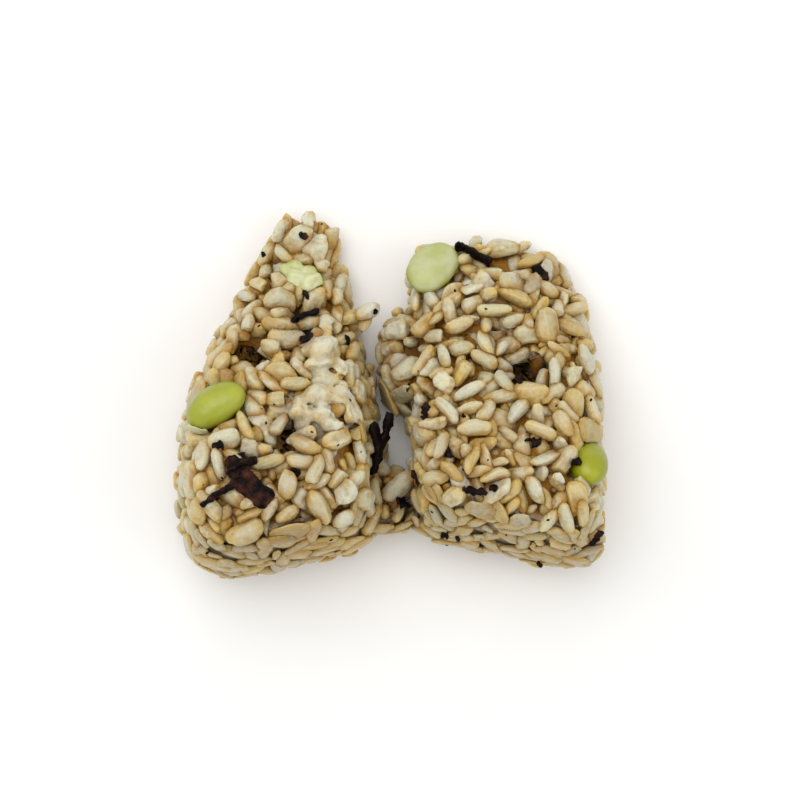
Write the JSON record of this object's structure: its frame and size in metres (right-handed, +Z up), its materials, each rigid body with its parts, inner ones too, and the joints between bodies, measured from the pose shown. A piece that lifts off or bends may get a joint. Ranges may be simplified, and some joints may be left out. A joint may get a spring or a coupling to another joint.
{
  "type": "onigiri rice ball",
  "caption": "Triangular mixed rice and barley ball with green soybeans and kelp shreds, pulled open into halves that lie side by side.",
  "frame": {"origin": "centre of the bounding box's bottom, on the table", "axes": "+X across both halves from the left one to the right one, +Y from the bases towards the tips, +Z up from the table"},
  "size_m": [0.0976, 0.0826, 0.0415],
  "materials": {
    "rice": "moist cooked grains, soft sheen",
    "soybean": "smooth moist skin",
    "kelp": "wrinkled, damp and dark"
  },
  "bodies": {
    "root": {"rice_left": "rice", "rice_right": "rice", "soybean_left": "soybean", "soybean_right_tip": "soybean", "soybean_right_side": "soybean", "soybean_torn": "soybean", "kelp_bunch": "kelp", "kelp_fork": "kelp", "kelp_ridge": "kelp", "kelp_left_tip": "kelp"}
  },
  "joints": []
}
